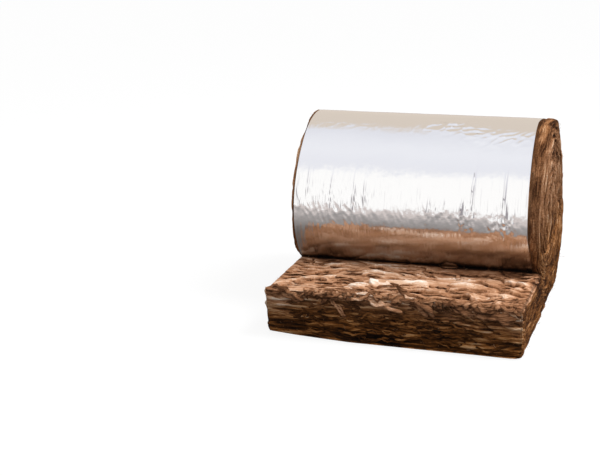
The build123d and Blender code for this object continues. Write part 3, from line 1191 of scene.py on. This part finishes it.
# %% Studio
# From the floor in front over the ceiling to the back
STUDIO = [(0.000, "#b3a9a5"), (0.015, "#c6bdba"), (0.040, "#f7f5f3"), (0.065, "#fffefc"),
          (0.305, "#fefdfb"), (0.360, "#e7e8ee"), (0.450, "#ecedf2"), (0.620, "#e0e1e8"),
          (0.680, "#d6cabd"), (1.000, "#d5c9bc")]
# To the left and right, from the horizon upwards
SIDES = [(0.00, "#969194"), (0.30, "#9d989b"), (0.55, "#c6c3c8"), (0.80, "#e6e6ec")]
STUDIO_LEVEL = 1.15
PLAIN_LIGHT = 0.80
OFF_CENTRE = 0.22  # the bright part lies this much to the left
SIDES_FROM, SIDES_TO = 0.22, 0.55


def studio_world():
    """White where the camera looks, the studio in reflections, and one plain level of light."""
    world = bpy.data.worlds.new("studio")
    bpy.context.scene.world = world
    add = node_adder(world)
    where = add("TexCoord").outputs["Generated"]
    parts = add("SeparateXYZ", {0: where}).outputs
    front = add("Math", {0: parts["Y"], 1: -1.0}, operation="MULTIPLY")
    angle = add("Math", {0: parts["Z"], 1: front}, operation="ARCTAN2")
    share = add("MapRange", {"Value": angle, "From Min": math.radians(-5), "From Max": math.pi})
    colour = add("ValToRGB", {"Fac": share}, stops=STUDIO)
    aside = add("Math", {0: parts["X"], 1: OFF_CENTRE}, operation="ADD")
    aside = add("Math", {0: aside}, operation="ABSOLUTE")
    aside = add("MapRange", {"Value": aside, "From Min": SIDES_FROM, "From Max": SIDES_TO})
    sides = add("ValToRGB", {"Fac": parts["Z"]}, stops=SIDES)
    room = add("Mix", {"Factor": aside, 6: colour, 7: sides}, data_type="RGBA")
    camera_ray, mirrored = ray_kinds(add)
    plain, studio, white = (add("Background", {"Color": tint, "Strength": level})
                            for tint, level in ((linear("#ffffff"), PLAIN_LIGHT),
                                                (room.outputs[2], STUDIO_LEVEL),
                                                (linear("#ffffff"), 1.0)))
    both = add("MixShader", {0: mirrored, 1: plain, 2: studio})
    both = add("MixShader", {0: camera_ray, 1: both, 2: white})
    add("OutputWorld", {"Surface": both})


studio_world()

# %% [markdown]
# The floor is white to the camera and still takes the object's shadow: grey
# paint that adds light of its own for camera rays. In the foil it is dim near
# the roll, which shades it, and brighter further away.

# %% Floor
FLOOR_SIZE, FLOOR_LEVEL = 30.0, -0.0005
FLOOR_OWN_LIGHT = 0.84
FLOOR_NEAR, FLOOR_FAR = 0.50, 2.3
DIM_IN_FOIL, BRIGHT_IN_FOIL = 0.08, 0.63
FLOOR_PAINT, FLOOR_IN_SHADE = "#757575", "#f3e4de"

bpy.ops.object.select_all(action="DESELECT")
bpy.ops.mesh.primitive_plane_add(size=FLOOR_SIZE, location=(0, 0, FLOOR_LEVEL))
floor = bpy.context.object
floor.name = "studio_floor"
floor_material = bpy.data.materials.new("studio_floor_white_paint")
add = node_adder(floor_material)
camera_ray, mirrored = ray_kinds(add)
where = add("TexCoord").outputs["Object"]
away = add("VectorMath", {0: where}, operation="LENGTH").outputs["Value"]
lit = add("MapRange", {"Value": away, "From Min": FLOOR_NEAR, "From Max": FLOOR_FAR,
                       "To Min": DIM_IN_FOIL, "To Max": BRIGHT_IN_FOIL})
glow = add("Math", {0: mirrored, 1: lit}, operation="MULTIPLY")
glow = add("Math", {0: camera_ray, 1: FLOOR_OWN_LIGHT, 2: glow}, operation="MULTIPLY_ADD")
paint = add("BsdfDiffuse", {"Color": linear(FLOOR_PAINT)})
tint = add("Mix", {"Factor": camera_ray, 6: linear(FLOOR_IN_SHADE), 7: linear("#ffffff")},
           data_type="RGBA")
light = add("Emission", {"Color": tint.outputs[2], "Strength": glow})
both = add("AddShader", {0: paint, 1: light})
add("OutputMaterial", {"Surface": both})
floor.data.materials.append(floor_material)

# %% [markdown]
# One large lamp stands above the right side and lights that end of the roll.
# The foil doesn't mirror it.

# %% Lamp
LAMP_PLACE, LAMP_AIM = (1.5, 0.1, 2.3), (0, 0, 0.2)
LAMP_SIZE = 1.6
LAMP_POWER = 62

lamp_data = bpy.data.lights.new("softbox", "AREA")
lamp_data.shape, lamp_data.size, lamp_data.energy = "SQUARE", LAMP_SIZE, LAMP_POWER
lamp = bpy.data.objects.new("softbox", lamp_data)
lamp.location = LAMP_PLACE
lamp.rotation_euler = (Vector(LAMP_AIM) - lamp.location).to_track_quat("-Z", "Y").to_euler()
lamp.visible_glossy = False
bpy.context.scene.collection.objects.link(lamp)

bpy.context.scene.view_settings.view_transform = "Standard"
